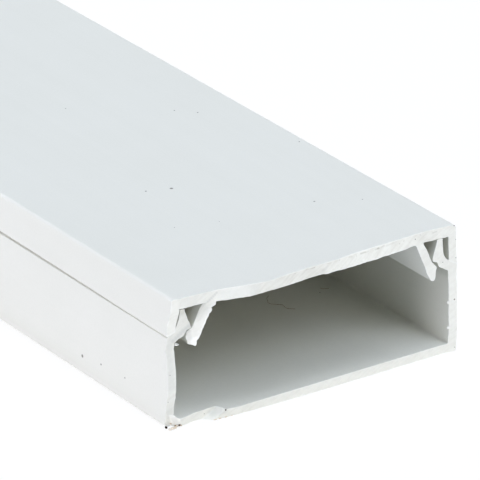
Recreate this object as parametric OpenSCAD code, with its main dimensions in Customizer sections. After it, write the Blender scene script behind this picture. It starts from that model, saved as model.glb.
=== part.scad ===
// Two-piece cable trunking: a channel that is fixed to a wall, and a lid that snaps into it.
// The section lies in X and Z, the stick runs along Y, and Z = 0 is the back of the channel.

/* [Trunking] */
// Width over the side walls, at the back
trunking_w = 40; // [25:0.5:100]
// Height from the back to the top of the lid
trunking_h = 16; // [12:0.5:60]
// Length of the stick
trunking_l = 2000; // [100:10:3000]
// Lean of the side walls and skirts towards the middle, in degrees
wall_lean = 1; // [0:0.25:2]

/* [Channel] */
// Thickness of the floor
floor_t = 1.1; // [0.8:0.1:2]
// Thickness of the side walls
wall_t = 1.1; // [0.8:0.1:1.6]
// Fillet between the floor and the side walls, inside
inner_r = 0.25; // [0.1:0.05:1]
// Rounding of the outer edges along the back
back_r = 0.3; // [0.1:0.1:0.6]
// Slope of the shoulder that carries the skirt, up towards the rail, in degrees
shoulder_slope = 30; // [0:1:35]

/* [Lid] */
// Thickness of the lid's top
lid_t = 1.3; // [0.8:0.1:2]
// Thickness of the skirts that stand on the side walls
skirt_t = 1; // [0.7:0.1:1.3]
// Height of the skirts, from the top of the lid
skirt_h = 4.75; // [4:0.05:6]
// Rounding of the lid's long top edges
lid_r = 0.4; // [0.2:0.1:1]
// Rounding of the skirts' lower inner edges, which lead the lid over the rails
skirt_lead_r = 0.4; // [0.1:0.1:0.6]

/* [Rail of the channel] */
// Width of the pocket between the skirt and the top of the rail
pocket_w = 0.95; // [0.5:0.05:1.3]
// Thickness of the rail at its top
rail_t = 0.65; // [0.5:0.05:1.2]
// Lean of the rail's outer face, in degrees
rail_lean = 5; // [0:1:10]
// Fillet at the foot of the rail, in the pocket
rail_foot_r = 1.5; // [0.2:0.1:1.8]
// How far the barb stands in from the top of the rail
barb_reach = 0.7; // [0.3:0.05:1.2]
// Height of the barb above the outer edge of the shoulder
barb_h = 1.35; // [1:0.05:1.8]
// Height of the barb's blunt nose
barb_t = 0.4; // [0.2:0.05:0.6]
// Height of the upright heel behind the hook
heel_h = 0.6; // [0.3:0.05:0.9]
// Lean of the heel towards the side wall, in degrees
heel_lean = 20; // [0:1:30]
// Slope of the web between the heel and the side wall, in degrees
web_slope = 31; // [20:1:45]

/* [Leg of the lid] */
// Thickness of the leg
leg_t = 1.05; // [0.8:0.05:1.6]
// Lean of the leg towards the side wall, in degrees
leg_lean = 23; // [15:1:32]
// Fillet between the leg and the lid, on the cable side
leg_root_r = 0.4; // [0.1:0.1:1]
// Depth of the hook, from its catch to the tip of the leg
hook_h = 2.1; // [1.2:0.1:3]
// Rounding of the hook's nose
hook_r = 0.35; // [0.1:0.05:0.5]
// Width of the blunt tip of the leg
leg_tip_w = 0.55; // [0.4:0.05:0.8]

/* [Snap fit] */
// Width of the catch, where the hook lies under the barb
catch_w = 0.65; // [0.45:0.05:1]
// Slope of the catch, in degrees
catch_slope = 22; // [10:1:35]
// Clearance between the hook and the rail
lock_gap = 0.12; // [0.05:0.01:0.2]
// Clearance between the lid and what it stands on
seam_gap = 0.1; // [0.05:0.01:0.2]
// Rounding of the small edges
edge_r = 0.12; // [0.05:0.01:0.2]

/* [Saw cut at the near end] */
// How far the saw ran off square, in degrees
saw_skew = 3.3; // [0:0.1:6]
// How far a second cut set the left side of the channel back
saw_step = 1.6; // [0.2:0.1:4]
// How far that second cut reaches across the floor
saw_reach = 6; // [2:0.5:10]

/* [Hidden] */

pvc_white = [0.91, 0.92, 0.93];
arc_steps = 5;       // chords in each rounded corner
max_share = 0.49;    // most of an edge that one rounded corner may use up
overcut = 1;         // how far a saw cut runs past the faces it opens

// Planes that both pieces are built from
near_y = -trunking_l / 2;
outer_x = trunking_w / 2;
inner_x = outer_x - wall_t;
skirt_x = outer_x - skirt_t;
skirt_z = trunking_h - skirt_h;
shoulder_z = skirt_z - seam_gap;
lid_under_z = trunking_h - lid_t;

// How far the shoulder, and the skirt on it, have risen at x
function shoulder_rise(x) = tan(shoulder_slope) * (outer_x - x);

// Rail: outer face, top, barb, catch, heel and web
rail_top_z = lid_under_z - seam_gap;
rail_outer_x = skirt_x - pocket_w;
rail_inner_x = rail_outer_x - rail_t;
rail_run = rail_top_z - shoulder_z - shoulder_rise(rail_outer_x);
rail_foot_x = rail_outer_x + rail_run * tan(rail_lean) / (1 - tan(rail_lean) * tan(shoulder_slope));
barb_x = rail_inner_x - barb_reach;
barb_z = shoulder_z + barb_h;
nose_z = barb_z - barb_t;
catch_x = barb_x + catch_w;
catch_z = nose_z - tan(catch_slope) * catch_w;
heel_z = catch_z - heel_h;
heel_x = catch_x + tan(heel_lean) * heel_h;
web_z = heel_z - tan(web_slope) * (inner_x - heel_x);

// Leg: its outer face clears the barb's nose, and its hook lies parallel under the catch
leg_clear_x = barb_x - lock_gap / cos(leg_lean);
function leg_outer_x(z) = leg_clear_x - tan(leg_lean) * (z - nose_z);
function leg_inner_x(z) = leg_outer_x(z) - leg_t / cos(leg_lean);
function hook_catch_z(x) = nose_z - tan(catch_slope) * (x - barb_x) - lock_gap / cos(catch_slope);
hook_root_drop = (lock_gap / cos(catch_slope) - tan(catch_slope) * lock_gap / cos(leg_lean))
    / (1 - tan(catch_slope) * tan(leg_lean));
hook_root_z = nose_z - hook_root_drop;
hook_tip_x = catch_x - lock_gap;
hook_tip_z = hook_catch_z(hook_tip_x);
leg_tip_z = hook_tip_z - hook_h;
leg_tip_x = leg_inner_x(leg_tip_z);

// Right half of the channel's outline, from the back up the outside and down the inside,
// each point with the radius of its corner
channel_half = [
    [outer_x, 0, back_r],
    [outer_x, shoulder_z, edge_r],
    [rail_foot_x, shoulder_z + shoulder_rise(rail_foot_x), rail_foot_r],
    [rail_outer_x, rail_top_z, edge_r],
    [rail_inner_x, rail_top_z, edge_r],
    [barb_x, barb_z, edge_r],
    [barb_x, nose_z, edge_r],
    [catch_x, catch_z, edge_r],
    [heel_x, heel_z, edge_r],
    [inner_x, web_z, inner_r],
    [inner_x, floor_t, inner_r],
];

// Right half of the lid's outline, from the leg's root round its hook and the skirt to the top
lid_half = [
    [leg_inner_x(lid_under_z), lid_under_z, leg_root_r],
    [leg_tip_x, leg_tip_z, leg_tip_w / 2],
    [leg_tip_x + leg_tip_w, leg_tip_z, leg_tip_w / 2],
    [hook_tip_x, hook_tip_z, hook_r],
    [leg_outer_x(hook_root_z), hook_root_z, edge_r],
    [leg_outer_x(lid_under_z), lid_under_z, edge_r],
    [skirt_x, lid_under_z, edge_r],
    [skirt_x, skirt_z + shoulder_rise(skirt_x), skirt_lead_r],
    [outer_x, skirt_z, edge_r],
    [outer_x, trunking_h, lid_r],
];

// Half outline with its upright lines leaning towards the middle
function leaned(half) = [for (p = half) [p.x - tan(wall_lean) * p.y, p.y, p.z]];

// Whole outline from its right half
function mirrored(half) =
    let (n = len(half))
    concat(half, [for (i = [1 : n]) [-half[n - i].x, half[n - i].y, half[n - i].z]]);

// Point p turned about the origin by an angle
function turned(p, angle) = [p.x * cos(angle) - p.y * sin(angle), p.x * sin(angle) + p.y * cos(angle)];

// Arc that rounds the corner c between the points a and b, its radius limited by the two edges
function corner_arc(a, c, b, r) =
    let (
        to_a = (a - c) / norm(a - c),
        to_b = (b - c) / norm(b - c),
        half_angle = acos(to_a * to_b) / 2,
        reach = min(r / tan(half_angle), max_share * min(norm(a - c), norm(b - c))),
        fit_r = reach * tan(half_angle),
        centre = c + (to_a + to_b) / norm(to_a + to_b) * fit_r / sin(half_angle),
        first = c + to_a * reach - centre,
        sweep = sign(cross(to_b, to_a)) * (180 - 2 * half_angle)
    )
    [for (i = [0 : arc_steps]) centre + turned(first, sweep * i / arc_steps)];

function flat(p) = [p.x, p.y];

// Outline with every corner rounded by its own radius
function rounded(outline) =
    let (n = len(outline))
    [for (i = [0 : n - 1]) each corner_arc(flat(outline[(i + n - 1) % n]), flat(outline[i]),
                                           flat(outline[(i + 1) % n]), outline[i].z)];

// Stick with the given half section, its near end cut off by a saw that ran off square
module sawn_stick(half)
    difference() {
        rotate([90, 0, 0])
            linear_extrude(trunking_l, center = true)
                polygon(rounded(mirrored(leaned(half))));
        translate([-outer_x, near_y, -overcut])
            rotate([0, 0, saw_skew])
                translate([-overcut, -trunking_w, 0])
                    cube([trunking_w / cos(saw_skew) + 2 * overcut, trunking_w, trunking_h + 2 * overcut]);
    }

// What the second cut took off the left side of the channel
module second_cut()
    translate([-outer_x - overcut, near_y - overcut, -overcut])
        cube([saw_reach + overcut, saw_step + overcut, trunking_h + 2 * overcut]);

module base_channel()
    color(pvc_white)
        difference() {
            sawn_stick(channel_half);
            second_cut();
        }

module snap_lid()
    color(pvc_white)
        sawn_stick(lid_half);

base_channel();
snap_lid();
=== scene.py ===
# Looks of the cable trunking: two sawn sticks of white PVC, their dirt and damage, light and camera
import math
from collections import namedtuple

import bpy
import numpy as np
from mathutils import Matrix, Vector, geometry, kdtree, noise


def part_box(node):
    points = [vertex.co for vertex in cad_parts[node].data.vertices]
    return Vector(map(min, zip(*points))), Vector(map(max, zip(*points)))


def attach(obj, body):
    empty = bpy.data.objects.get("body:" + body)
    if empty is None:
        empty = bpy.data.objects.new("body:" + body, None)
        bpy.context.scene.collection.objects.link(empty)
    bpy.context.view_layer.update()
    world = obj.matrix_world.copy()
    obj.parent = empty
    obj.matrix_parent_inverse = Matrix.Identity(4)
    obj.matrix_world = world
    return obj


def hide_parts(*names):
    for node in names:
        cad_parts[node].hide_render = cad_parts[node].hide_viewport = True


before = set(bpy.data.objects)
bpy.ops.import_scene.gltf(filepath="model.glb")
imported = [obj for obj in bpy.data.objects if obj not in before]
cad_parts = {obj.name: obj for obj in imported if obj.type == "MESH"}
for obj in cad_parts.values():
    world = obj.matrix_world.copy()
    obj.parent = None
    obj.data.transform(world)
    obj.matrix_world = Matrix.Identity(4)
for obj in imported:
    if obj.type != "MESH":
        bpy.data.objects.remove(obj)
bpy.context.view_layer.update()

# A millimetre in metres, what counts as no distance, and digits that tell points apart
MM = 0.001
TINY = 1e-6
POINT_DIGITS = 7

# Camera, fitted to the long edges and corners in the photo; angles in degrees, lengths in mm
PHOTO_PX = 480
SENSOR_MM = 36.0
FOCAL_PX = 6105.0
VIEW_AZIMUTH = -32.77
VIEW_ELEVATION = 22.60
VIEW_DISTANCE = 697.6
VIEW_SHIFT_RIGHT = 8.51
VIEW_SHIFT_UP = -9.78

# Light: the sky's level and colour, the lamps' colours, and each lamp's azimuth, elevation, strength, spread
# and colour; angles in degrees
SKY_LIGHT = 0.02
SKY_COLOUR = (0.86, 0.90, 1.0, 1)
COOL_LIGHT = (0.78, 0.85, 1.0)
SIDE_LIGHT = (0.94, 0.92, 1.0)
WARM_LIGHT = (1.0, 0.91, 0.8)
PALE_LIGHT = (0.97, 1.0, 0.95)
LAMPS = (
    ("lamp_above", 0, 90, 1.15, 30, COOL_LIGHT),
    ("lamp_above_wide", 0, 90, 0.48, 50, COOL_LIGHT),
    ("lamp_front_top", 0, 65, 0.6, 30, COOL_LIGHT),
    ("lamp_front_high", 8, 45, 0.45, 20, COOL_LIGHT),
    ("lamp_right_high", 25, 45, 0.43, 30, COOL_LIGHT),
    ("lamp_front_low", 10, 5, 0.7, 10, WARM_LIGHT),
    ("lamp_left", -92, 5, 1.38, 10, SIDE_LIGHT),
    ("lamp_left_front", -82, 5, 0.5, 10, SIDE_LIGHT),
    ("lamp_right", 85, 45, 0.35, 30, PALE_LIGHT),
)
# Floor: its size in metres, how much light it throws back, and the faint shade and glow that the camera sees
FLOOR_SIZE = 60
FLOOR_LIGHT = 0.9
FLOOR_SHADE = 0.14
FLOOR_GLOW = 0.88
WHITE = (1, 1, 1, 1)

# Places in the section, in mm, and the plane from which the saw cut is measured
HALF_HEIGHT = 8.0
END_PLANE_Y = -998.2
LID_UNDER_Z = 14.7
FLOOR_TOP_Z = 1.1

# Mesh, in mm: steps along the section's edges and over the sawn face, how far that face's inner points keep
# off its edges, rings of points by distance from the end plane, how far back the cut's shape fades out, from
# what angle on an edge is sharp, and the kind of triangulation, which fills an outline
EDGE_STEP = 0.12
CAP_STEP = 0.12
CAP_MARGIN = 0.08
NEAR_RINGS = (0.0, 0.04, 0.1, 0.2, 0.35, 0.55, 0.8, 1.2, 2.0, 3.5, 5.5, 8.0, 12.0)
FAR_RINGS = (18.0, 26.0, 36.0, 50.0, 70.0, 100.0, 150.0, 250.0, 400.0, 700.0, 1000.0, 1300.0, 1600.0, 1850.0)
END_FADE = 12.0
SMOOTH_ANGLE = math.radians(30)
FILL_INSIDE = 1

# Saw cut: how far the end stands proud of the end plane, in mm, towards the viewer

# Lid, along its top edge, from left to right
LID_CUT = ((-20, 0.9), (-13.6, 0.95), (-12.4, 1.2), (-10, 1.7), (-7.5, 2.0), (-4, 1.45),
           (-1, 1.15), (2.5, 0.95), (5.5, 0.4), (9, 0.1), (12, -0.15), (15, -0.5), (20, -0.4))
# Lid, how much further its lower edge stands out
LID_CUT_UNDER = ((-20, 0.0), (-15, -0.1), (-13, 0.4), (-10, 0.35), (-7.5, -0.1), (-4, 0.2),
                 (-1, 0.0), (0.4, 0.02), (0.8, 0.26), (2.5, 0.3), (6, 0.65), (12, 0.4), (15, 0.1), (20, 0.15))
# Left leg of the lid, which a second, slanting stroke cut: how far its inner face stands out, from the tip
# up, how fast that falls off towards the outer face, where the inner face is, how it leans, and its top
LEFT_LEG_CUT = ((9.66, 0.25), (10.5, 0.45), (11.5, 0.6), (12.4, 0.75), (13.95, 0.8), (14.7, 1.2))
LEFT_LEG_SLANT = 0.6
LEFT_LEG_X = -14.13
LEFT_LEG_LEAN = 0.4245
LEFT_LEG_TOP_Z = 14.6
# That stroke's kerf in the lid: a point of its upper edge, how steeply it rises, and the width of that edge
KERF_X = -15.3
KERF_Z = 14.6
KERF_RISE = 0.56
KERF_EDGE = 0.12
# Height over which the right leg's cut goes over into the lid's
RIGHT_LEG_TOP_Z = 14.5
RIGHT_LEG_LOW_Z = 13.8
# Right leg, both skirts from their lower edges up, and where the lid's cut goes over into the skirts'
RIGHT_LEG_CUT = -0.25
LEFT_SKIRT_CUT = ((11, -0.05), (12.4, 0.12), (13.2, 0.41), (14.2, 0.78), (16, 0.95))
RIGHT_SKIRT_CUT = ((11, -0.25), (14, -0.36), (16, -0.42))
SKIRT_FROM_X = 18.0
SKIRT_TO_X = 18.8
# Channel floor, along its inner edge: a straight cut, and the set-back second cut at its left
FLOOR_CUT = ((-15, 1.25), (-13, 1.2), (-12.2, 1.3), (-11, 1.364), (20, -0.62))
SECOND_CUT = ((-20, 0.5), (-18.8, 0.6), (-18.3, 0.63), (-17.6, 0.48), (-16.8, 0.25), (-16.2, 0.07),
              (-15.4, 0.03), (-14.7, -0.08), (-13.3, -0.15))
# How much the back edge of either cut is set back
FLOOR_SET_BACK = ((-15, 0.3), (-13, 0.2), (-12, 0.29), (-11, 0.34), (-6, 0.1), (0, 0.0))
SECOND_SET_BACK = ((-18.5, 0.3), (-16.5, 0.18), (-15.3, 0.09), (-13, 0.0))
# Torn face between the two cuts: where it starts and ends along the back, how both lean, and how hollow it is
# on top
TEAR_LEFT_X = -15.3
TEAR_LEFT_LEAN = 1.75
TEAR_RIGHT_X = -14.3
TEAR_RIGHT_LEAN = 1.32
TEAR_HOLLOW = 3.0
# Side walls of the channel, from the back up
LEFT_WALL_CUT = ((0, -0.4), (1.5, -0.28), (2.5, -0.2), (3.4, 0.02), (4.2, 0.16), (5, 0.2), (6, 0.14),
                 (7, 0.07), (8, -0.14), (9.4, -0.38), (10.5, -0.3), (12.3, -0.15), (14.6, -0.15))
RIGHT_WALL_CUT = ((0, -0.48), (1.5, -0.36), (3, -0.18), (5, -0.22), (7, -0.2), (8.5, -0.22),
                  (9.5, -0.3), (10.5, -0.25), (14, -0.25))
# How much further the outer edges of the right wall and skirt, and of the left skirt, stand out than their
# inner edges
RIGHT_TILT = 0.1
LEFT_SKIRT_TILT = -0.3
WALL_INNER_X = 18.8
WALL_THICKNESS = 1.1
# Where the floor's cut goes over into the walls', across the left and right corners and upwards
LEFT_WALL_BLEND = (18.45, 19.5)
RIGHT_WALL_BLEND = (17.6, 19.0)
WALL_BLEND_Z = 0.3
# Unevenness of the sawn faces: size, and ripples to the mm across and up, and layer of the noise
SAW_BROAD = 0.05
SAW_BROAD_RIPPLE = (0.8, 1.5, 0.0)
SAW_FINE = 0.02
SAW_FINE_RIPPLE = (5.0, 5.0, 3.0)

# Parts of the clips that the saw bent at the end: how far back, how closely a point follows the nearest row,
# where the rail and the legs are, and rows of x, z, and shift in x and z
BEND_REACH = 6.0
BEND_POWER = 3
RAIL_BEND_X = -15.9
RAIL_BEND_Z = 8.9
RAIL_BEND = (
    (-17.15, 14.6, -0.37, -0.63), (-17.8, 14.6, -0.26, -0.61), (-18.02, 12.5, -0.49, -0.45),
    (-16.93, 13.9, -0.33, -0.57), (-16.71, 13.2, -0.32, -0.54),
    (-16.48, 12.5, -0.23, -0.43), (-16.49, 12.1, -0.14, -0.52), (-17.14, 11.84, -0.02, -0.45),
    (-17.37, 11.24, -0.07, -0.41), (-18.72, 10.44, 0.0, -0.21),
    (-19.0, 11.6, 0, 0), (-19.8, 11.1, 0, 0), (-19.9, 10.0, 0, 0), (-18.8, 9.0, 0, 0),
)
LEG_BEND_X = (13.5, 17.6)
LEG_BEND = (
    (-16.4, 12.01, -0.2, -0.46), (-17.02, 11.76, -0.12, -0.56), (-16.93, 10.7, -0.3, -0.27),
    (-16.89, 10.1, -0.17, -0.17), (-16.77, 9.74, -0.36, 0.07), (-16.58, 9.66, -0.13, -0.03),
    (-16.38, 9.74, 0.12, -0.3), (17.02, 11.76, 0.05, -0.38), (16.4, 12.01, 0.02, -0.1),
    (-14.3, 14.2, 0, 0), (-15.0, 12.6, 0, 0), (-15.6, 11.2, 0, 0), (-16.0, 10.3, 0, 0), (-15.3, 14.6, 0, 0),
    (-15.8, 13.4, 0, 0), (14.3, 14.2, 0, 0), (15.0, 12.6, 0, 0), (15.6, 11.2, 0, 0), (16.0, 10.3, 0, 0),
    (16.6, 9.66, 0, 0), (16.93, 10.7, 0, 0), (15.3, 14.6, 0, 0), (15.8, 13.4, 0, 0),
)

# Burrs: how far back they reach, where the legs and the left leg's tip end, the right leg's bulge, the lid's
# lower edge, and what closes the seams at the end
BURR_REACH = 0.5
LEG_BURR_X = 17.5
TIP_BURR_Z = 10.2
RIGHT_LEG_BURR = 0.1
RIGHT_LEG_BURR_Z = 10.7
UNDER_BURR = 0.09
UNDER_BURR_BAND = 0.1
RAIL_TOP_Z = 14.5
SKIRT_LOW_Z = 12.2
SEAM_BURR = 0.1
# Wobble of the edges: its size on each part, and ripples to the mm across and up, and layer of the noise
LID_WOBBLE = 0.03
UNDER_WOBBLE = 0.04
LEG_WOBBLE = 0.05
CHANNEL_WOBBLE = 0.04
LID_RIPPLE = (3.1, 3.1, 7.0)
UNDER_RIPPLE = (0.7, 0.0, 4.0)
CHANNEL_RIPPLE = (2.7, 2.7, 5.0)
# How much of a point's outward direction lies along an axis for its face to count as facing that way
FACES_PARTLY = 0.3
FACES_MOSTLY = 0.5
FACES_FULLY = 0.9
# Torn inner edge of the left leg, by height
LEFT_LEG_EDGE = ((10.1, 0.04), (10.4, 0.1), (10.7, 0.07), (10.85, 0.11), (11.05, 0.04), (11.35, 0.0),
                 (11.55, -0.04), (11.7, 0.04), (11.9, -0.05), (12.1, 0.0), (12.5, -0.07), (12.75, -0.03),
                 (12.95, 0.03), (13.2, -0.05), (13.3, 0.0), (13.42, 0.15), (13.52, 0.11), (13.65, 0.17),
                 (13.75, 0.14), (13.85, -0.03), (13.96, -0.07), (14.06, 0.03), (14.17, 0.13), (14.3, 0.2),
                 (14.5, 0.16))
# How much higher than in the section the skirts' lower edges lie, by distance from the end
SEAM_LIFT = ((0, -0.05), (8, -0.03), (14, 0.01), (22, 0.09), (40, 0.11))
# How much lower than in the section the left seam lies, and where that begins, in x and up the wall
LEFT_SEAM_DROP = 0.2
DROP_FROM_X = 17.9
DROP_FROM_Z = 9.9
DROP_FULL_Z = 10.9

# Painted highlight along the lower edges of the legs' tips, painted light on the legs' inner faces, by
# distance from the end, and a painted highlight on the left leg's tip
HIGHLIGHT_EDGE_X = 16.33
HIGHLIGHT_EDGE_Z = 9.8
HIGHLIGHT_EDGE_REACH = 0.2
LEG_PAINTED_LIGHT = ((0, 1.0), (2, 0.8), (14, 0.7), (30, 0.0))
LEG_PAINTED_LIGHT_DEPTH = 0.1
LEG_LOW_Z = 9.2
HIGHLIGHT_TIP_X = 16.75
HIGHLIGHT_TIP_Z = 10.5

# Extruded PVC: linear colours; lines that the die drew, mottling and grain, each as scale and detail of its
# noise; their shares in the tone, and the part of the tone and of the mottling that is spread out
PVC_DARK = (0.785, 0.785, 0.705, 1)
PVC_LIGHT = (0.82, 0.818, 0.74, 1)
DIE_STRETCH = (900, 5, 900)
DIE_LINES = (1.0, 3.0)
MOTTLE = (90.0, 4.0)
GRAIN = (4000.0, 2.0)
DIE_LINES_SHARE = 0.5
GRAIN_SHARE = 0.8
TONE_SPREAD = (0.8, 1.5)
MOTTLE_SPREAD = (0.3, 0.7)
PVC_ROUGHNESS = (0.38, 0.48)
PVC_IOR = 1.53
# Bumps of the die lines and of the sawn faces: strength, and depth in metres
DIE_BUMP = (0.2, 0.00002)
SAWN_BUMP = (0.4, 0.00005)
# Sawn PVC: colours, grain, and slanting strokes of the saw, with their slope in degrees and size in metres
SAWN_DARK = (0.89, 0.885, 0.80, 1)
SAWN_LIGHT = (0.955, 0.95, 0.86, 1)
SAW_DIRT_COLOUR = (0.70, 0.68, 0.59, 1)
SAWN_ROUGHNESS = 0.6
SAWN_GRAIN = (2500.0, 5.0)
SAW_SLOPE = 30.0
SAW_STROKE = (0.0026, 1.0, 0.0004)
SAW_STROKE_NOISE = (1.0, 3.0)
SAW_STROKE_SPREAD = (0.42, 0.66)
# Share of saw dirt in the strokes; along the lid's cut, more of it in the strokes and painted shade all over,
# with where that begins and is full in x and in z
SAW_DIRT = 0.2
LID_SAW_DIRT = 0.4
LID_SHADE_HAZE = 0.15
SAW_ZONE_X = (-12.0, -8.0)
SAW_ZONE_END_X = (18.5, 16.5)
SAW_ZONE_Z = (14.45, 14.75)
# Colours of pale burrs with painted highlight and of painted light, grey streaks mostly of painted shade,
# specks, brown marks and dust, and of lumps and hairs by their paleness
BURR_AND_PAINTED_LIGHT_COLOUR = (0.95, 0.95, 0.88, 1)
GREY_AND_SHADE_COLOUR = (0.70, 0.705, 0.645, 1)
SPECK_COLOUR = (0.16, 0.15, 0.12, 1)
MARK_COLOUR = (0.30, 0.27, 0.18, 1)
DUST_COLOUR = (0.55, 0.53, 0.45, 1)
DIRT_COLOURS = (
    (0.0, (0.012, 0.008, 0.006, 1)),
    (0.3, (0.13, 0.075, 0.045, 1)),
    (0.55, (0.55, 0.42, 0.28, 1)),
    (0.75, (0.80, 0.70, 0.56, 1)),
    (1.0, (0.92, 0.92, 0.86, 1)),
)
# Lumps and hairs: grain, as scale and detail of its noise, its share in the paleness, roughness and shine
DIRT_GRAIN = (6000.0, 3.0)
DIRT_GRAIN_SHARE = 0.3
DIRT_ROUGHNESS = 0.8
DIRT_SHINE = 0.1
# Dust: cells to the metre, size of a speck in cells, and the share of cells that have one
DUST_SCALE = 220.0
DUST_SIZE = 0.028
DUST_SHARE = 0.12
# Share of a spot's radius out to which it keeps its full strength
DUST_CORE = 0.4
SPOT_CORE = 0.5
MARK_CORE = 0.4
STREAK_CORE = 0.3
# Share of a distance along the stick that counts for a spot on the sawn end, which is uneven
END_SPOT_DEPTH = 0.02

# Dirt, in mm. Lumps stuck to the channel's end: x, how far in front of the sawn face, z, three radii, and
# paleness
LUMPS = (
    (-20.05, 0.39, 0.14, 0.16, 0.2, 0.14, 0.0),
    (-19.85, 0.66, 0.15, 0.16, 0.2, 0.13, 1.0),
    (-19.85, 0.99, 0.07, 0.3, 0.25, 0.07, 0.78),
    (-19.45, 0.95, 0.12, 0.3, 0.3, 0.09, 0.74),
    (-19.15, 0.7, 0.12, 0.2, 0.3, 0.09, 0.72),
    (-19.32, 0.09, 0.32, 0.1, 0.06, 0.09, 0.58),
    (-18.88, 0.03, 0.14, 0.12, 0.1, 0.08, 0.45),
    (-18.52, 0.03, 0.22, 0.14, 0.1, 0.11, 0.22),
    (-18.32, 0.04, 0.14, 0.14, 0.1, 0.08, 0.68),
    (-18.75, 0.05, 0.1, 0.16, 0.1, 0.07, 0.72),
    (-14.1, 0.03, 0.06, 0.28, 0.08, 0.07, 0.8),
    (-13.5, 0.03, 0.06, 0.2, 0.08, 0.06, 0.72),
    (-12.7, 0.03, 0.06, 0.2, 0.08, 0.06, 0.8),
    (-11.9, 0.03, 0.05, 0.16, 0.08, 0.05, 0.84),
    (-12.84, 0.03, 1.04, 0.09, 0.08, 0.1, 0.12),
    (-18.5, 0.2, 9.9, 0.32, 0.14, 0.07, 1.0),
    (-18.62, 0.2, 10.08, 0.22, 0.12, 0.05, 1.0),
    (18.68, 0.05, 6.5, 0.17, 0.12, 0.2, 1.0),
    (18.7, 0.05, 3.3, 0.2, 0.12, 0.16, 1.0),
)
# Spots on the sawn ends: x, z, radius, strength
CHANNEL_END_SPOTS = (
    (-14.9, 0.55, 0.07, 0.9), (-10.42, 0.25, 0.1, 0.15), (-19.77, 3.18, 0.09, 0.5), (-19.57, 6.51, 0.08, 0.6),
    (19.54, 6.68, 0.12, 1.0), (19.8, 0.5, 0.09, 0.6), (17.9, 11.69, 0.07, 0.9),
)
LID_END_SPOTS = (
    (19.5, 15.9, 0.12, 0.9), (14.05, 15.41, 0.1, 0.8), (19.72, 14.13, 0.08, 0.65), (19.7, 11.87, 0.1, 0.5),
    (-3.63, 15.82, 0.07, 0.4), (14.81, 15.73, 0.07, 0.5),
)
# Grey streaks on the sawn ends, mostly painted shade on facets and grooves: x, z of both ends, radius,
# strength
CHANNEL_END_GREY_AND_SHADE = (
    (-14.0, 0.7, -12.95, 1.0, 0.6, 0.5),
    (-16.6, 12.05, -18.9, 10.45, 0.5, 0.75),
    (-19.2, 10.5, -19.6, 9.3, 0.7, 0.4),
    (-19.5, 8.5, -19.5, 5.0, 0.9, 0.42),
    (-19.4, 2.0, -19.4, 0.6, 0.8, 0.4),
    (-19.1, 1.0, -18.8, 0.4, 0.45, 0.7),
)
LID_END_GREY_AND_SHADE = (
    (-15.4, 14.4, -13.9, 15.65, 0.25, 0.7),
    (-13.0, 15.2, -9.5, 15.4, 1.2, 0.5),
    (-15.3, 14.4, -16.0, 13.0, 0.35, 0.4),
    (-15.0, 13.5, -16.2, 11.0, 0.6, 0.3),
    (-16.95, 11.2, -16.9, 10.4, 0.45, 0.6),
    (0.2, 14.9, 1.0, 15.5, 0.25, 0.3),
)
# Brown marks along the top of the lid's cut: x and z of their two ends, radius, strength
LID_END_MARKS = (
    (-1.92, 15.82, -1.3, 15.77, 0.1, 0.15),
    (-1.19, 15.76, -0.75, 15.77, 0.1, 0.22),
    (0.96, 15.83, 1.53, 15.77, 0.1, 0.13),
    (2.7, 15.83, 2.8, 15.83, 0.1, 0.2),
    (4.17, 15.79, 4.65, 15.72, 0.12, 0.16),
    (5.3, 15.75, 5.32, 15.55, 0.08, 0.2),
    (5.97, 15.73, 6.7, 15.73, 0.12, 0.35),
    (6.7, 15.73, 7.11, 15.73, 0.1, 0.15),
    (8.1, 15.69, 8.3, 15.7, 0.12, 0.25),
    (8.38, 15.71, 8.65, 15.71, 0.13, 0.5),
    (8.8, 15.73, 9.47, 15.77, 0.12, 0.13),
    (9.71, 15.72, 10.85, 15.78, 0.12, 0.13),
    (11.6, 15.52, 11.65, 15.52, 0.1, 0.25),
    (12.25, 15.65, 12.35, 15.68, 0.1, 0.2),
    (16.6, 15.6, 17.1, 15.64, 0.12, 0.2),
)
# Spots that make up a streak or mark
STREAK_STEPS = 8
# Specks on the long faces: x, distance from the end plane, z, radius
CHANNEL_SPECKS = (
    (-19.96, 18.3, 2.2, 0.25), (-19.95, 14.2, 2.65, 0.15), (-19.95, 9.0, 2.9, 0.12), (14.8, 21.2, 1.1, 0.1),
)
LID_SPECKS = (
    (-2.03, 27.4, 16.0, 0.26), (9.83, 15.0, 16.0, 0.15), (13.6, 46.3, 16.0, 0.13), (18.7, 31.7, 16.0, 0.12),
    (11.6, 48.4, 16.0, 0.12), (-5.0, 28.3, 16.0, 0.15), (-8.1, 17.1, 16.0, 0.08), (14.9, 12.5, 16.0, 0.1),
    (0.9, 56.1, 16.0, 0.1), (-2.8, 15.8, 16.0, 0.07),
)
# Two hairs on the floor inside: x and distance from the end plane
HAIRS = (
    ((9.1, 23.6), (8.5, 23.1), (8.25, 22.5), (7.9, 21.9), (8.0, 21.4), (8.5, 20.95), (9.0, 20.45),
     (8.9, 19.9), (8.85, 19.3), (9.2, 18.9), (9.6, 18.6)),
    ((15.55, 22.3), (15.7, 21.9), (16.0, 21.7), (16.35, 21.65)),
)
HAIR_RADIUS = 0.022
HAIR_SIDES = 6
HAIR_TONE = 0.42
# Shape of a lump: points, and the size and scale of its knobs
LUMP_RINGS = 6
LUMP_SIDES = 9
LUMP_KNOB = 0.3
LUMP_KNOB_SCALE = 1.7


def along(curve, at):
    """Value of a curve, given as (place, value) pairs, at one place."""
    places, values = zip(*curve)
    return float(np.interp(at, places, values))


def smooth_share(value):
    """Smooth step from 0 to 1."""
    t = min(max(value, 0.0), 1.0)
    return t * t * (3 - 2 * t)


def fading(depth, reach):
    """1 at the sawn end, falling to 0 at a reach behind it."""
    return max(1 - depth / reach, 0.0) ** 2


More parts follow.
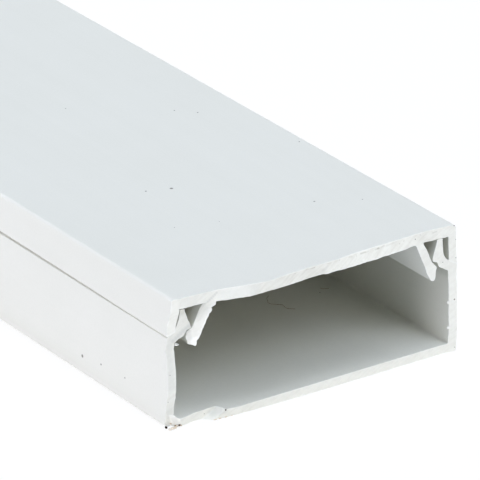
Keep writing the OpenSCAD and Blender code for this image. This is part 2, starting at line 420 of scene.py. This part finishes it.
def ripple(x, z, kind):
    """Noise at (x, z), of a kind given as its ripples across and up, and its layer."""
    across, up, layer = kind
    return noise.noise(Vector((across * x, layer, up * z)))


# Sawn ends

def right_tilt(x):
    """How much further the right side stands out towards its outer face."""
    return RIGHT_TILT * max(x - WALL_INNER_X, 0.0) / WALL_THICKNESS


def left_tilt(x):
    """How much further the left skirt stands out towards its outer face."""
    return LEFT_SKIRT_TILT * max(-x - WALL_INNER_X, 0.0) / WALL_THICKNESS


def left_leg_proud(x, z):
    """How far the slanting stroke left the left leg standing out at (x, z)."""
    inner_x = LEFT_LEG_X - LEFT_LEG_LEAN * (LID_UNDER_Z - z)
    return along(LEFT_LEG_CUT, z) - LEFT_LEG_SLANT * (inner_x - x)


def lid_proud(x, z):
    """How far the lid's sawn end stands out at (x, z)."""
    under = min((2 * HALF_HEIGHT - z) / (2 * HALF_HEIGHT - LID_UNDER_Z), 1.0)
    proud = along(LID_CUT, x) + under * along(LID_CUT_UNDER, x)
    if x < 0:
        edge_z = max(KERF_Z + KERF_RISE * (x - KERF_X), LEFT_LEG_TOP_Z)
        leg_share = smooth_share((edge_z - z) / KERF_EDGE)
        leg = min(left_leg_proud(x, z), proud)
    else:
        leg_share = smooth_share((RIGHT_LEG_TOP_Z - z) / (RIGHT_LEG_TOP_Z - RIGHT_LEG_LOW_Z))
        leg = RIGHT_LEG_CUT
    skirt = along(LEFT_SKIRT_CUT if x < 0 else RIGHT_SKIRT_CUT, z)
    skirt_share = smooth_share((abs(x) - SKIRT_FROM_X) / (SKIRT_TO_X - SKIRT_FROM_X))
    proud += leg_share * (leg - proud)
    return proud + skirt_share * (skirt + right_tilt(x) + left_tilt(x) - proud)


def floor_proud(x, z):
    """How far the floor's sawn end stands out at (x, z), with the torn face between its two cuts."""
    left_x = TEAR_LEFT_X + TEAR_LEFT_LEAN * z
    right_x = TEAR_RIGHT_X + TEAR_RIGHT_LEAN * z
    torn = min(max((x - left_x) / (right_x - left_x), 0.0), 1.0) ** (1 + TEAR_HOLLOW * z / FLOOR_TOP_Z)
    low = 1 - z / FLOOR_TOP_Z
    straight = along(FLOOR_CUT, x) - low * along(FLOOR_SET_BACK, x)
    second = along(SECOND_CUT, x) - low * along(SECOND_SET_BACK, x)
    return straight * torn + second * (1 - torn)


def channel_proud(x, z):
    """How far the channel's sawn end stands out at (x, z)."""
    floor = floor_proud(x, min(z, FLOOR_TOP_Z))
    wall = along(LEFT_WALL_CUT if x < 0 else RIGHT_WALL_CUT, z) + right_tilt(x)
    from_x, to_x = LEFT_WALL_BLEND if x < 0 else RIGHT_WALL_BLEND
    across = smooth_share((abs(x) - from_x) / (to_x - from_x))
    up = smooth_share((z - FLOOR_TOP_Z) / WALL_BLEND_Z)
    share = max(across, up)
    return floor * (1 - share) + wall * share


def saw_relief(x, z):
    """Unevenness of the sawn face, in mm."""
    return SAW_BROAD * ripple(x, z, SAW_BROAD_RIPPLE) + SAW_FINE * ripple(x, z, SAW_FINE_RIPPLE)


def leg_ragged(x, z, out_x, wobble):
    """Burr on the edges of the two legs' ends: a torn edge on the left one, a bulge on the right one."""
    if x < 0 and z < TIP_BURR_Z:
        return LEG_WOBBLE * wobble
    if x < 0 and out_x > FACES_MOSTLY:
        return along(LEFT_LEG_EDGE, z)
    if x > 0 and out_x < -FACES_MOSTLY:
        return RIGHT_LEG_BURR * max(1 - abs(z - RIGHT_LEG_BURR_Z), 0.0) + LEG_WOBBLE * wobble
    return LID_WOBBLE * wobble


def lid_ragged(x, z, out_x, out_z):
    """Burr that the saw left on the edges of the lid's end, in mm."""
    wobble = ripple(x, z, LID_RIPPLE)
    if abs(x) < LEG_BURR_X and z < LEFT_LEG_TOP_Z:
        return leg_ragged(x, z, out_x, wobble)
    if x > 0 and z < SKIRT_LOW_Z and out_z < -FACES_PARTLY:
        return SEAM_BURR
    if abs(z - LID_UNDER_Z) < UNDER_BURR_BAND and out_z < -FACES_FULLY:
        return UNDER_BURR * ripple(x, z, UNDER_RIPPLE) + UNDER_WOBBLE * wobble
    return LID_WOBBLE * wobble


def channel_ragged(x, z, out_x, out_z):
    """Burr that the saw left on the edges of the channel's end, in mm."""
    if z > RAIL_TOP_Z and out_z > FACES_PARTLY:
        return SEAM_BURR
    return CHANNEL_WOBBLE * ripple(x, z, CHANNEL_RIPPLE)


def bent(x, z, rows):
    """Shift at (x, z) of a bent part, blended from rows of places and their shifts."""
    place = np.array((x, z))
    table = np.array(rows)
    away = np.linalg.norm(table[:, :2] - place, axis=1) + TINY
    weights = away ** -BEND_POWER
    return weights @ table[:, 2:] / weights.sum()


def rail_bend(x, z):
    """Shift of the channel's left rail at the sawn end."""
    on_rail = x < RAIL_BEND_X and z > RAIL_BEND_Z
    return bent(x, z, RAIL_BEND) if on_rail else np.zeros(2)


def leg_bend(x, z):
    """Shift of the lid's legs at the sawn end."""
    on_leg = LEG_BEND_X[0] < abs(x) < LEG_BEND_X[1] and z < LEFT_LEG_TOP_Z
    return bent(x, z, LEG_BEND) if on_leg else np.zeros(2)


def left_drop(x):
    """How much lower the left seam lies at x."""
    return LEFT_SEAM_DROP * smooth_share((-x - DROP_FROM_X) / (SKIRT_TO_X - DROP_FROM_X))


def seam_lift(x, z, depth):
    """How far a point of the skirts' lower edges is raised: the seam opens away from the sawn end."""
    if abs(x) < SKIRT_TO_X or z > SKIRT_LOW_Z:
        return 0.0
    return along(SEAM_LIFT, depth) - left_drop(x)


def shoulder_lift(x, z, depth):
    """How far a point of the channel's shoulders is raised: the left one lies lower at any depth."""
    if z > SKIRT_LOW_Z:
        return 0.0
    return -left_drop(x) * smooth_share((z - DROP_FROM_Z) / (DROP_FULL_Z - DROP_FROM_Z))


def painted_light_of(x, depth, z):
    """Painted light on the legs' inner faces near the sawn end; painted highlight on their lower edges and
    left tip.
    """
    edge = max(1 - math.hypot(abs(x) - HIGHLIGHT_EDGE_X, z - HIGHLIGHT_EDGE_Z) / HIGHLIGHT_EDGE_REACH, 0.0)
    inner_x = -LEFT_LEG_X + LEFT_LEG_LEAN * (LID_UNDER_Z - z)
    on_leg = LEG_LOW_Z < z < RIGHT_LEG_TOP_Z and abs(abs(x) - inner_x) < LEG_PAINTED_LIGHT_DEPTH
    if x < 0 and abs(x) < HIGHLIGHT_TIP_X and LEG_LOW_Z < z < HIGHLIGHT_TIP_Z and depth < BURR_REACH:
        return 1.0
    return max(edge, along(LEG_PAINTED_LIGHT, depth)) if on_leg else edge


# What the saw did to a piece's end: functions for how far it stands out, its burrs, bent parts and seam
Form = namedtuple("Form", "proud ragged bend lift")
CHANNEL_FORM = Form(channel_proud, channel_ragged, rail_bend, shoulder_lift)
LID_FORM = Form(lid_proud, lid_ragged, leg_bend, seam_lift)


# Meshes

def far_section(node):
    """Closed loop of (x, z) in mm round a node's section, read from its square far end."""
    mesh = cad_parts[node].data
    far_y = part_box(node)[1].y
    numbers = {}
    points = []

    def number_of(corner):
        key = (round(corner.x, POINT_DIGITS), round(corner.z, POINT_DIGITS))
        if key not in numbers:
            numbers[key] = len(points)
            points.append((corner.x / MM, corner.z / MM))
        return numbers[key]

    edges = set()
    mesh.calc_loop_triangles()
    for triangle in mesh.loop_triangles:
        corners = [mesh.vertices[v].co for v in triangle.vertices]
        if all(far_y - c.y < TINY for c in corners):
            a, b, c = (number_of(corner) for corner in corners)
            edges.update(((a, b), (b, c), (c, a)))
    following = {a: b for a, b in edges if (b, a) not in edges}
    loop = [next(iter(following))]
    while following[loop[-1]] != loop[0]:
        loop.append(following[loop[-1]])
    section = np.array([points[i] for i in loop])
    x, z = section.T
    area = 0.5 * np.sum(x * np.roll(z, -1) - np.roll(x, -1) * z)
    return section if area > 0 else section[::-1]


def refined(section):
    """Section with its edges split to EDGE_STEP, and the place of each old corner in it."""
    fine = []
    corners = []
    for start, end in zip(section, np.roll(section, -1, axis=0)):
        corners.append(len(fine))
        count = max(1, math.ceil(np.linalg.norm(end - start) / EDGE_STEP))
        fine.extend(start + (end - start) * i / count for i in range(count))
    return np.array(fine), corners


def outward(section):
    """Unit vectors that point out of the section at each of its points."""
    way = np.roll(section, -1, axis=0) - np.roll(section, 1, axis=0)
    out = np.stack([way[:, 1], -way[:, 0]], axis=1)
    return out / np.linalg.norm(out, axis=1, keepdims=True)


def inside_points(section):
    """Grid points inside the section that keep clear of its edges."""
    low, high = section.min(0), section.max(0)
    xs = np.arange(low[0], high[0], CAP_STEP)
    edge = kdtree.KDTree(len(section))
    for i, (x, z) in enumerate(section):
        edge.insert((x, 0.0, z), i)
    edge.balance()
    found = []
    following = np.roll(section, -1, axis=0)
    for z in np.arange(low[1], high[1], CAP_STEP):
        straddles = (section[:, 1] > z) != (following[:, 1] > z)
        start, end = section[straddles], following[straddles]
        share = (z - start[:, 1]) / (end[:, 1] - start[:, 1])
        crossings = np.sort(start[:, 0] + share * (end[:, 0] - start[:, 0]))
        inside = np.searchsorted(crossings, xs) % 2 == 1
        found.extend((x, z) for x in xs[inside] if edge.find((x, 0.0, z))[2] > CAP_MARGIN)
    return np.array(found)


def triangles_of(section, inside):
    """Triangles that fill a section, as numbers of its points followed by those inside it."""
    flat = [Vector(p) for p in np.concatenate([section, inside])]
    loop = list(range(len(section)))
    made = geometry.delaunay_2d_cdt(flat, [], [loop], FILL_INSIDE, TINY)
    faces, origins = made[2], made[3]
    number = [origin[0] for origin in origins]
    return [[number[v] for v in face] for face in faces]


def near_points(fine, form):
    """Points of the rings near the sawn end, which follow its cut, burrs and bent parts."""
    normals = outward(fine)
    ends = [form.proud(x, z) for x, z in fine]
    burrs = [form.ragged(x, z, *normal) for (x, z), normal in zip(fine, normals)]
    bends = [form.bend(x, z) for x, z in fine]
    found = []
    for depth in NEAR_RINGS:
        for (x, z), normal, end, burr, turn in zip(fine, normals, ends, burrs, bends):
            shift = normal * burr * fading(depth, BURR_REACH) + turn * fading(depth, BEND_REACH)
            y = END_PLANE_Y + depth - end * fading(depth, END_FADE)
            found.append((x + shift[0], y, z + shift[1] + form.lift(x, z, depth)))
    return found


def far_points(section, far_y, form):
    """Points of the rings along the rest of the stick, up to its square far end."""
    depths = FAR_RINGS + (far_y - END_PLANE_Y,)
    return [(x, END_PLANE_Y + depth, z + form.lift(x, z, depth)) for depth in depths for x, z in section]


def sawn_points(inside, form):
    """Points within the sawn face."""
    found = []
    for x, z in inside:
        shift = form.bend(x, z)
        y = END_PLANE_Y - form.proud(x, z) + saw_relief(x, z)
        found.append((x + shift[0], y, z + shift[1] + form.lift(x, z, 0.0)))
    return found


def ring_faces(first, rings, count):
    """Faces between rings of points, numbered from the first point on."""
    faces = []
    for ring in range(rings - 1):
        front = first + ring * count
        back = front + count
        for i in range(count):
            j = (i + 1) % count
            faces.append((front + i, back + i, back + j, front + j))
    return faces


def joining_faces(corners, count, first_far):
    """Faces between the last fine ring and the first coarse one, whose points are the fine one's corners."""
    faces = []
    last_fine = first_far - count
    for i, start in enumerate(corners):
        j = (i + 1) % len(corners)
        end = corners[j] if j else count
        between = [last_fine + k % count for k in range(start, end + 1)]
        faces.append([first_far + j] + between[::-1] + [first_far + i])
    return faces


def sawn_stick(name, node, form, dirt):
    """Stick with the node's section: a fine, crooked sawn end in front and a plain square end behind."""
    section = far_section(node)
    fine, corners = refined(section)
    inside = inside_points(fine)
    count = len(fine)

    verts = near_points(fine, form)
    first_far = len(verts)
    verts.extend(far_points(section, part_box(node)[1].y / MM, form))
    first_inside = len(verts)
    verts.extend(sawn_points(inside, form))

    faces = ring_faces(0, len(NEAR_RINGS), count)
    faces.extend(joining_faces(corners, count, first_far))
    faces.extend(ring_faces(first_far, len(FAR_RINGS) + 1, len(section)))
    number = list(range(count)) + list(range(first_inside, len(verts)))
    cut_faces = [[number[v] for v in face] for face in triangles_of(fine, inside)]
    last_ring = first_inside - len(section)
    for face in triangles_of(section, np.empty((0, 2))):
        cut_faces.append([last_ring + v for v in face[::-1]])

    tones = [1.0] * len(verts)
    # Outline of the sawn end: pale burrs with a painted highlight; behind it, painted light and highlight on
    # the legs
    burr_and_painted_lights = [1.0] * count + [painted_light_of(x, y - END_PLANE_Y, z) for x, y, z in verts[count:]]
    dirt_faces = []
    for dirt_verts, skin, tone in dirt:
        first = len(verts)
        verts.extend(dirt_verts)
        tones.extend([tone] * len(dirt_verts))
        burr_and_painted_lights.extend([0.0] * len(dirt_verts))
        dirt_faces.extend([first + v for v in face] for face in skin)
    return mesh_piece(name, verts, (faces, cut_faces, dirt_faces), {"tone": tones, "burr_and_painted_light": burr_and_painted_lights})


def mesh_piece(name, verts, kinds_of_faces, values):
    """Object of a piece, with a material index for each kind of face and values on its points."""
    mesh = bpy.data.meshes.new(name)
    all_faces = [face for faces in kinds_of_faces for face in faces]
    mesh.from_pydata([Vector(v) * MM for v in verts], [], all_faces)
    kinds = [kind for kind, faces in enumerate(kinds_of_faces) for face in faces]
    mesh.polygons.foreach_set("material_index", kinds)
    for key, numbers in values.items():
        mesh.attributes.new(key, "FLOAT", "POINT").data.foreach_set("value", numbers)
    mesh.polygons.foreach_set("use_smooth", [True] * len(kinds))
    mesh.set_sharp_from_angle(angle=SMOOTH_ANGLE)
    mesh.validate()
    mesh.update()
    piece = bpy.data.objects.new(name, mesh)
    bpy.context.scene.collection.objects.link(piece)
    weighted = piece.modifiers.new("weighted_normals", "WEIGHTED_NORMAL")
    weighted.keep_sharp = True
    return piece


# Lumps and hairs

def lathe_faces(rings, sides):
    """Faces of a closed skin: a first point, rings of points, and a last point."""
    faces = []
    last = 1 + rings * sides
    for side in range(sides):
        other = (side + 1) % sides
        faces.append((0, 1 + other, 1 + side))
        for ring in range(rings - 1):
            low = 1 + ring * sides
            high = low + sides
            faces.append((low + side, low + other, high + other, high + side))
        top = 1 + (rings - 1) * sides
        faces.append((top + side, top + other, last))
    return faces


def lump(x, proud, z, radii, tone):
    """Closed knobbly ellipsoid: its points, faces and paleness."""
    y = END_PLANE_Y - channel_proud(x, z) - proud
    verts = [(x, y, z - radii[2])]
    for ring in range(1, LUMP_RINGS):
        polar = math.pi * ring / LUMP_RINGS
        for side in range(LUMP_SIDES):
            turn = 2 * math.pi * side / LUMP_SIDES
            out = math.sin(polar)
            way = Vector((out * math.cos(turn), out * math.sin(turn), -math.cos(polar)))
            knob = 1 + LUMP_KNOB * noise.noise(way * LUMP_KNOB_SCALE + Vector((x, z, 0)))
            verts.append(tuple(c + r * w * knob for c, r, w in zip((x, y, z), radii, way)))
    verts.append((x, y, z + radii[2]))
    return verts, lathe_faces(LUMP_RINGS - 1, LUMP_SIDES), tone


def hair(points):
    """Closed thin tube along points on the floor of the channel: its points, faces and paleness."""
    path = [Vector((x, END_PLANE_Y + depth, FLOOR_TOP_Z + HAIR_RADIUS)) for x, depth in points]
    verts = [path[0]]
    for i, place in enumerate(path):
        way = (path[min(i + 1, len(path) - 1)] - path[max(i - 1, 0)]).normalized()
        aside = Vector((way.y, -way.x, 0.0))
        for side in range(HAIR_SIDES):
            turn = 2 * math.pi * side / HAIR_SIDES
            verts.append(place + HAIR_RADIUS * (aside * math.cos(turn) + Vector((0, 0, math.sin(turn)))))
    verts.append(path[-1])
    return [tuple(v) for v in verts], lathe_faces(len(path), HAIR_SIDES), HAIR_TONE


def channel_dirt():
    """All lumps and hairs on the channel."""
    found = [lump(x, proud, z, (rx, ry, rz), tone) for x, proud, z, rx, ry, rz, tone in LUMPS]
    return found + [hair(points) for points in HAIRS]


# Nodes that several materials use

def node_of(tree, kind, settings=None, **inputs):
    """New node with settings and input values or links. An input is named with _ for a space, or by _ and its
    number."""
    node = tree.nodes.new(kind)
    for key, value in (settings or {}).items():
        setattr(node, key, value)
    for key, value in inputs.items():
        socket = node.inputs[int(key[1:])] if key[1:].isdigit() else node.inputs[key.replace("_", " ")]
        if isinstance(value, bpy.types.NodeSocket):
            tree.links.new(value, socket)
        else:
            socket.default_value = value
    return node


def new_material(name):
    """New material, its node tree and its shader."""
    material = bpy.data.materials.new(name)
    material.use_nodes = True
    return material, material.node_tree, material.node_tree.nodes["Principled BSDF"]


def mix_colour(tree, share, first, second):
    """Colour between two colours, by the sockets that the mix node has for colours."""
    return node_of(tree, "ShaderNodeMix", {"data_type": "RGBA"}, _0=share, _6=first, _7=second).outputs[2]


def calculated(tree, operation, *values):
    """Result of a calculation with values or links."""
    inputs = {f"_{number}": value for number, value in enumerate(values)}
    return node_of(tree, "ShaderNodeMath", {"operation": operation}, **inputs).outputs[0]


def share_of(tree, value, start, end, **limits):
    """How far a value has come from start to end, from 0 to 1 or between other limits."""
    return node_of(tree, "ShaderNodeMapRange", Value=value, From_Min=start, From_Max=end, **limits).outputs[0]


def noise_at(tree, place, kind):
    """Noise of a kind, given as its scale and detail."""
    scale, detail = kind
    return node_of(tree, "ShaderNodeTexNoise", Vector=place, Scale=scale, Detail=detail).outputs["Fac"]


def bumps(tree, height, kind):
    """Normals of a bumpy face, of a kind given as its strength and depth."""
    strength, depth = kind
    return node_of(tree, "ShaderNodeBump", Height=height, Strength=strength, Distance=depth).outputs[0]


def place_on(tree):
    """Place on the object, in metres."""
    return node_of(tree, "ShaderNodeTexCoord").outputs["Object"]


def value_of(tree, name):
    """Value that the mesh has on its points."""
    return node_of(tree, "ShaderNodeAttribute", {"attribute_name": name}).outputs["Fac"]


# Spots

def end_place(tree, place):
    """Place with Y shortened, so that a spot also covers an uneven end."""
    return node_of(tree, "ShaderNodeMapping", Vector=place, Scale=(1, END_SPOT_DEPTH, 1)).outputs[0]


def end_spot(x, z, radius, strength):
    """Centre, radius and strength of a spot on the sawn end, in metres, with Y shortened as in end_place."""
    return (x * MM, END_SPOT_DEPTH * END_PLANE_Y * MM, z * MM), radius * MM, strength


def end_spots(rows):
    """Single spots on the sawn end."""
    return [end_spot(*row) for row in rows]


def end_streaks(rows):
    """Rows of spots that make up streaks on the sawn end."""
    found = []
    for x0, z0, x1, z1, radius, strength in rows:
        for share in np.linspace(0, 1, STREAK_STEPS):
            found.append(end_spot(x0 + share * (x1 - x0), z0 + share * (z1 - z0), radius, strength))
    return found


def specks(rows):
    """Centres, radii and strengths of specks on the long faces, in metres."""
    return [((x * MM, (END_PLANE_Y + depth) * MM, z * MM), radius * MM, 1.0) for x, depth, z, radius in rows]


def spot_mask(tree, place, spots, core):
    """The strength of each spot out to a share of its radius, falling to 0 at the radius."""
    mask = None
    for centre, radius, strength in spots:
        away = node_of(tree, "ShaderNodeVectorMath", {"operation": "DISTANCE"}, _0=place, _1=centre)
        inside = share_of(tree, away.outputs["Value"], radius, core * radius, To_Max=strength)
        mask = inside if mask is None else calculated(tree, "MAXIMUM", mask, inside)
    return mask


def dust_mask(tree, place):
    """Sparse fine dust specks all along a stick."""
    cells = node_of(tree, "ShaderNodeTexVoronoi", Vector=place, Scale=DUST_SCALE)
    chance = node_of(tree, "ShaderNodeSeparateColor", Color=cells.outputs["Color"]).outputs[0]
    near = share_of(tree, cells.outputs["Distance"], DUST_SIZE, DUST_CORE * DUST_SIZE)
    few = calculated(tree, "GREATER_THAN", chance, 1 - DUST_SHARE)
    return calculated(tree, "MULTIPLY", near, few)


# Materials

def pvc(name, rows):
    """White extruded PVC with faint lengthwise die lines, mottling, dust, specks, and painted light and
    highlights.
    """
    material, tree, shader = new_material(name)
    place = place_on(tree)
    stretched = node_of(tree, "ShaderNodeMapping", Vector=place, Scale=DIE_STRETCH).outputs[0]
    lines = noise_at(tree, stretched, DIE_LINES)
    mottle = noise_at(tree, place, MOTTLE)
    tone = calculated(tree, "MULTIPLY_ADD", lines, DIE_LINES_SHARE, mottle)
    tone = calculated(tree, "MULTIPLY_ADD", noise_at(tree, place, GRAIN), GRAIN_SHARE, tone)
    colour = mix_colour(tree, share_of(tree, tone, *TONE_SPREAD), PVC_DARK, PVC_LIGHT)
    # Pale burrs with painted highlight along the sawn end's edges, painted light on the legs' inner faces
    colour = mix_colour(tree, value_of(tree, "burr_and_painted_light"), colour, BURR_AND_PAINTED_LIGHT_COLOUR)
    colour = mix_colour(tree, dust_mask(tree, place), colour, DUST_COLOUR)
    colour = mix_colour(tree, spot_mask(tree, place, specks(rows), SPOT_CORE), colour, SPECK_COLOUR)
    smoothest, roughest = PVC_ROUGHNESS
    rough = share_of(tree, mottle, *MOTTLE_SPREAD, To_Min=smoothest, To_Max=roughest)
    tree.links.new(colour, shader.inputs["Base Color"])
    tree.links.new(rough, shader.inputs["Roughness"])
    tree.links.new(bumps(tree, lines, DIE_BUMP), shader.inputs["Normal"])
    shader.inputs["IOR"].default_value = PVC_IOR
    return material


def saw_strokes(tree, place):
    """Noise drawn out along the slanting strokes of the saw."""
    turn = (0, -math.radians(SAW_SLOPE), 0)
    drawn_out = node_of(tree, "ShaderNodeMapping", {"vector_type": "TEXTURE"},
                        Vector=place, Rotation=turn, Scale=SAW_STROKE).outputs[0]
    return noise_at(tree, drawn_out, SAW_STROKE_NOISE)


def saw_zone(tree, place):
    """1 along the middle and right of the lid's cut, and 0 elsewhere."""
    axes = node_of(tree, "ShaderNodeSeparateXYZ", Vector=place).outputs
    zone = 1.0
    for axis, limits in (("X", SAW_ZONE_X), ("X", SAW_ZONE_END_X), ("Z", SAW_ZONE_Z)):
        start, end = limits
        zone = calculated(tree, "MULTIPLY", zone, share_of(tree, axes[axis], start * MM, end * MM))
    return zone


def sawn_pvc(name, dirty_shaded_cut, layers):
    """Sawn PVC: rougher, with slanting saw strokes, pale burrs with painted highlight on the edges, more saw
    dirt and painted shade along a dirty cut, and layers of spots, each given as its spots, their core and
    their colour."""
    material, tree, shader = new_material(name)
    place = place_on(tree)
    grain = noise_at(tree, place, SAWN_GRAIN)
    strokes = saw_strokes(tree, place)
    stroke = share_of(tree, strokes, *SAW_STROKE_SPREAD)
    dirt = calculated(tree, "MULTIPLY", stroke, SAW_DIRT)
    if dirty_shaded_cut:
        # Along the lid's cut: more saw dirt in the strokes, and a haze of painted shade all over
        dirt_and_shade = calculated(tree, "MULTIPLY_ADD", stroke, LID_SAW_DIRT, LID_SHADE_HAZE)
        dirt_and_shade = calculated(tree, "MULTIPLY", dirt_and_shade, saw_zone(tree, place))
        dirt = calculated(tree, "MAXIMUM", dirt_and_shade, dirt)
    colour = mix_colour(tree, grain, SAWN_DARK, SAWN_LIGHT)
    colour = mix_colour(tree, dirt, colour, SAW_DIRT_COLOUR)
    # Pale burrs with a painted highlight along the sawn face's edges, and painted light on the left leg's tip
    colour = mix_colour(tree, value_of(tree, "burr_and_painted_light"), colour, BURR_AND_PAINTED_LIGHT_COLOUR)
    near = end_place(tree, place)
    for spots, core, spot_colour in layers:
        colour = mix_colour(tree, spot_mask(tree, near, spots, core), colour, spot_colour)
    height = calculated(tree, "ADD", grain, strokes)
    tree.links.new(colour, shader.inputs["Base Color"])
    tree.links.new(bumps(tree, height, SAWN_BUMP), shader.inputs["Normal"])
    shader.inputs["Roughness"].default_value = SAWN_ROUGHNESS
    return material


def channel_sawn_pvc():
    """Sawn end of the channel, with grey streaks mostly of painted shade, and spots of dirt."""
    return sawn_pvc("channel_sawn_pvc", False, (
        (end_streaks(CHANNEL_END_GREY_AND_SHADE), STREAK_CORE, GREY_AND_SHADE_COLOUR),
        (end_spots(CHANNEL_END_SPOTS), SPOT_CORE, SPECK_COLOUR),
    ))


def lid_sawn_pvc():
    """Sawn end of the lid: dirty cut with painted shade, grey streaks mostly of painted shade, brown marks,
    dirt spots.
    """
    return sawn_pvc("lid_sawn_pvc", True, (
        (end_streaks(LID_END_GREY_AND_SHADE), STREAK_CORE, GREY_AND_SHADE_COLOUR),
        (end_streaks(LID_END_MARKS), MARK_CORE, MARK_COLOUR),
        (end_spots(LID_END_SPOTS), SPOT_CORE, SPECK_COLOUR),
    ))


def dirt_crumbs(name):
    """Dirt and swarf, from nearly black to white by the paleness of each lump."""
    material, tree, shader = new_material(name)
    grain = noise_at(tree, place_on(tree), DIRT_GRAIN)
    uneven = calculated(tree, "MULTIPLY_ADD", grain, DIRT_GRAIN_SHARE, value_of(tree, "tone"))
    centred = calculated(tree, "SUBTRACT", uneven, DIRT_GRAIN_SHARE / 2)
    ramp = node_of(tree, "ShaderNodeValToRGB", Fac=centred)
    ramp.color_ramp.elements[0].color = DIRT_COLOURS[0][1]
    ramp.color_ramp.elements[1].color = DIRT_COLOURS[-1][1]
    for where, colour in DIRT_COLOURS[1:-1]:
        ramp.color_ramp.elements.new(where).color = colour
    tree.links.new(ramp.outputs[0], shader.inputs["Base Color"])
    shader.inputs["Roughness"].default_value = DIRT_ROUGHNESS
    shader.inputs["Specular IOR Level"].default_value = DIRT_SHINE
    return material


# Stage, light and camera

def seen_directly(tree):
    """1 for what the camera sees, straight or mirrored, and 0 for light that falls on the object."""
    path = node_of(tree, "ShaderNodeLightPath").outputs
    mirrored = calculated(tree, "MAXIMUM", path["Is Glossy Ray"], path["Is Transmission Ray"])
    return calculated(tree, "MAXIMUM", path["Is Camera Ray"], mirrored)


def make_floor():
    """White floor that keeps a faint shadow."""
    bpy.ops.mesh.primitive_plane_add(size=FLOOR_SIZE)
    floor = bpy.context.object
    floor.name = "floor"
    material = bpy.data.materials.new("floor_white")
    material.use_nodes = True
    tree = material.node_tree
    tree.nodes.clear()
    bright = (FLOOR_LIGHT, FLOOR_LIGHT, FLOOR_LIGHT, 1)
    faint = (FLOOR_SHADE, FLOOR_SHADE, FLOOR_SHADE, 1)
    lighting = node_of(tree, "ShaderNodeBsdfDiffuse", Color=bright).outputs[0]
    shade = node_of(tree, "ShaderNodeBsdfDiffuse", Color=faint).outputs[0]
    glow = node_of(tree, "ShaderNodeEmission", Color=WHITE, Strength=FLOOR_GLOW).outputs[0]
    shown = node_of(tree, "ShaderNodeAddShader", _0=shade, _1=glow).outputs[0]
    mixed = node_of(tree, "ShaderNodeMixShader", Fac=seen_directly(tree), _1=lighting, _2=shown).outputs[0]
    node_of(tree, "ShaderNodeOutputMaterial", Surface=mixed)
    floor.data.materials.append(material)


def make_world():
    """Faint light from all round, and a white background."""
    world = bpy.data.worlds.new("studio")
    bpy.context.scene.world = world
    world.use_nodes = True
    tree = world.node_tree
    tree.nodes.clear()
    light = node_of(tree, "ShaderNodeBackground", Color=SKY_COLOUR, Strength=SKY_LIGHT).outputs[0]
    white = node_of(tree, "ShaderNodeBackground", Color=WHITE, Strength=1.0).outputs[0]
    mixed = node_of(tree, "ShaderNodeMixShader", Fac=seen_directly(tree), _1=light, _2=white).outputs[0]
    node_of(tree, "ShaderNodeOutputWorld", Surface=mixed)


def from_direction(azimuth, elevation):
    """Unit vector from the object towards a place round it; azimuth 0 is in front of the sawn end."""
    a = math.radians(azimuth)
    e = math.radians(elevation)
    return Vector((math.sin(a) * math.cos(e), -math.cos(a) * math.cos(e), math.sin(e)))


def make_lamps():
    """Soft lamps above the object and round its front."""
    for name, azimuth, elevation, strength, spread, colour in LAMPS:
        data = bpy.data.lights.new(name, "SUN")
        data.energy = strength
        data.color = colour
        data.angle = math.radians(spread)
        lamp = bpy.data.objects.new(name, data)
        lamp.rotation_mode = "QUATERNION"
        lamp.rotation_quaternion = from_direction(azimuth, elevation).to_track_quat("Z", "Y")
        bpy.context.scene.collection.objects.link(lamp)


def make_camera():
    """Camera at the photo's viewing angle and distance."""
    azimuth = math.radians(VIEW_AZIMUTH)
    back = from_direction(VIEW_AZIMUTH, VIEW_ELEVATION)
    right = Vector((math.cos(azimuth), math.sin(azimuth), 0.0))
    up = back.cross(right)
    aim = Vector((0.0, END_PLANE_Y, HALF_HEIGHT))
    place = aim - VIEW_SHIFT_RIGHT * right - VIEW_SHIFT_UP * up + VIEW_DISTANCE * back
    data = bpy.data.cameras.new("camera")
    data.sensor_width = SENSOR_MM
    data.lens = FOCAL_PX / PHOTO_PX * SENSOR_MM
    camera = bpy.data.objects.new("camera", data)
    camera.matrix_world = Matrix.Translation(place * MM) @ Matrix((right, up, back)).transposed().to_4x4()
    bpy.context.scene.collection.objects.link(camera)
    bpy.context.scene.camera = camera


def make_pieces():
    """The channel and the lid, each riding on its body."""
    channel = sawn_stick("channel", "base_channel", CHANNEL_FORM, channel_dirt())
    lid = sawn_stick("lid", "snap_lid", LID_FORM, [])
    channel_materials = (pvc("channel_pvc", CHANNEL_SPECKS), channel_sawn_pvc(), dirt_crumbs("dirt"))
    lid_materials = (pvc("lid_pvc", LID_SPECKS), lid_sawn_pvc())
    for piece, node, rides_on, slot, materials in (
        (channel, "base_channel", "base", "channel_pvc", channel_materials),
        (lid, "snap_lid", "lid", "lid_pvc", lid_materials),
    ):
        for material in materials:
            piece.data.materials.append(material)
        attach(piece, rides_on)
        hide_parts(node)


make_camera()
make_pieces()
make_floor()
make_world()
make_lamps()
bpy.context.scene.view_settings.view_transform = "Standard"
